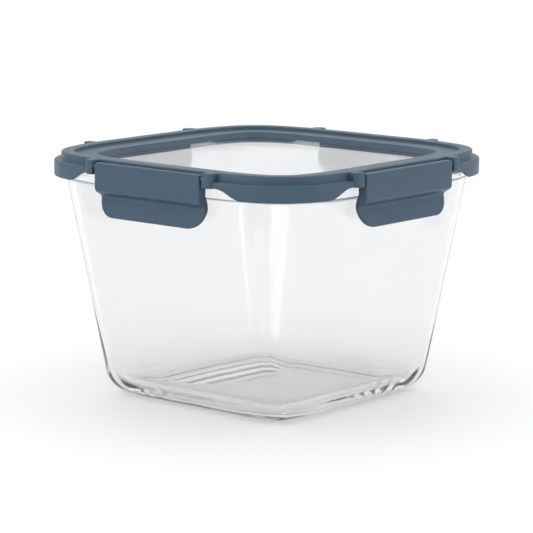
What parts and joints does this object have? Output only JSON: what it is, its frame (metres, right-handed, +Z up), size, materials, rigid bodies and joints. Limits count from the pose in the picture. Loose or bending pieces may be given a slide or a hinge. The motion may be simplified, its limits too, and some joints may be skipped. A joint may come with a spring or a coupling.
{
  "type": "glass storage container",
  "caption": "Deep square glass food container with a slate-blue snap lid, clear lid window, silicone seal and hinged side latches.",
  "frame": {"origin": "centre of the foot ring, on the surface the container stands on", "axes": "+Z up; X and Y run along the container's sides; the latch named front faces -Y and the one named right faces +X"},
  "size_m": [0.1776, 0.1776, 0.1225],
  "materials": {
    "glass": "clear pressed glass",
    "lid_plastic": "satin slate-blue polypropylene",
    "latch_plastic": "satin slate-blue polypropylene",
    "window_plastic": "clear glossy plastic",
    "silicone": "translucent matte silicone"
  },
  "bodies": {
    "container": {"glass_body": "glass"},
    "lid": {"lid_frame": "lid_plastic", "lid_window": "window_plastic", "lid_gasket": "silicone"},
    "latch_front": {"latch_front": "latch_plastic"},
    "latch_right": {"latch_right": "latch_plastic"},
    "latch_back": {"latch_back": "latch_plastic"},
    "latch_left": {"latch_left": "latch_plastic"}
  },
  "joints": [
    {"name": "lid_lift", "type": "slide", "parent": "container", "child": "lid", "axis": [0, 0, 1], "range_m": [0, 0.14]},
    {"name": "latch_front_hinge", "type": "hinge", "parent": "lid", "child": "latch_front", "pos_m": [0, -0.0868, 0.1195], "axis": [-1, 0, 0], "range_deg": [0, 110]},
    {"name": "latch_right_hinge", "type": "hinge", "parent": "lid", "child": "latch_right", "pos_m": [0.0868, 0, 0.1195], "axis": [0, -1, 0], "range_deg": [0, 110]},
    {"name": "latch_back_hinge", "type": "hinge", "parent": "lid", "child": "latch_back", "pos_m": [0, 0.0868, 0.1195], "axis": [1, 0, 0], "range_deg": [0, 110]},
    {"name": "latch_left_hinge", "type": "hinge", "parent": "lid", "child": "latch_left", "pos_m": [-0.0868, 0, 0.1195], "axis": [0, 1, 0], "range_deg": [0, 110]}
  ]
}
